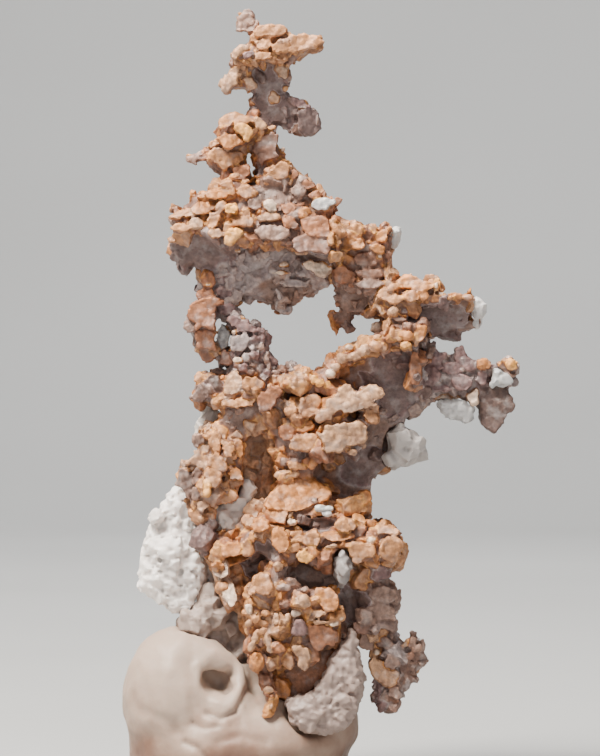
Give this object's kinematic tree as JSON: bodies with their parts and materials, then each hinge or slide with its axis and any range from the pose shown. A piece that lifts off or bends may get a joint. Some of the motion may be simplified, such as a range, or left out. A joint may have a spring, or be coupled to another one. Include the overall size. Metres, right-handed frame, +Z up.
{
  "type": "native copper specimen",
  "caption": "Upright branching growth of native copper crystals with a loop in it and bits of white gangue, standing in a lump of mounting putty.",
  "frame": {"origin": "centre of the putty's flat underside, where the specimen rests", "axes": "+Z up along the growth, -Y towards the viewer of its broad face, +X to that viewer's right"},
  "size_m": [0.0441, 0.0198, 0.0862],
  "materials": {
    "copper": "satin",
    "gangue": "matte",
    "putty": "matte"
  },
  "bodies": {
    "root": {"copper_top_sprig": "copper", "copper_neck": "copper", "copper_upper_mass": "copper", "copper_right_shoulder": "copper", "copper_right_ledge": "copper", "copper_right_arm": "copper", "copper_left_limb": "copper", "copper_left_column": "copper", "copper_central_mass": "copper", "copper_lower_mass": "copper", "copper_lower_right_sprig": "copper", "gangue_left_block": "gangue", "gangue_cleft_crust": "gangue", "gangue_left_knob": "gangue", "gangue_lower_left": "gangue", "gangue_lower_right": "gangue", "gangue_front_chip": "gangue", "gangue_right_lump": "gangue", "gangue_arm_upper": "gangue", "gangue_arm_lower": "gangue", "gangue_shoulder_tip": "gangue", "gangue_ledge_tip": "gangue", "mounting_putty": "putty"}
  },
  "joints": []
}
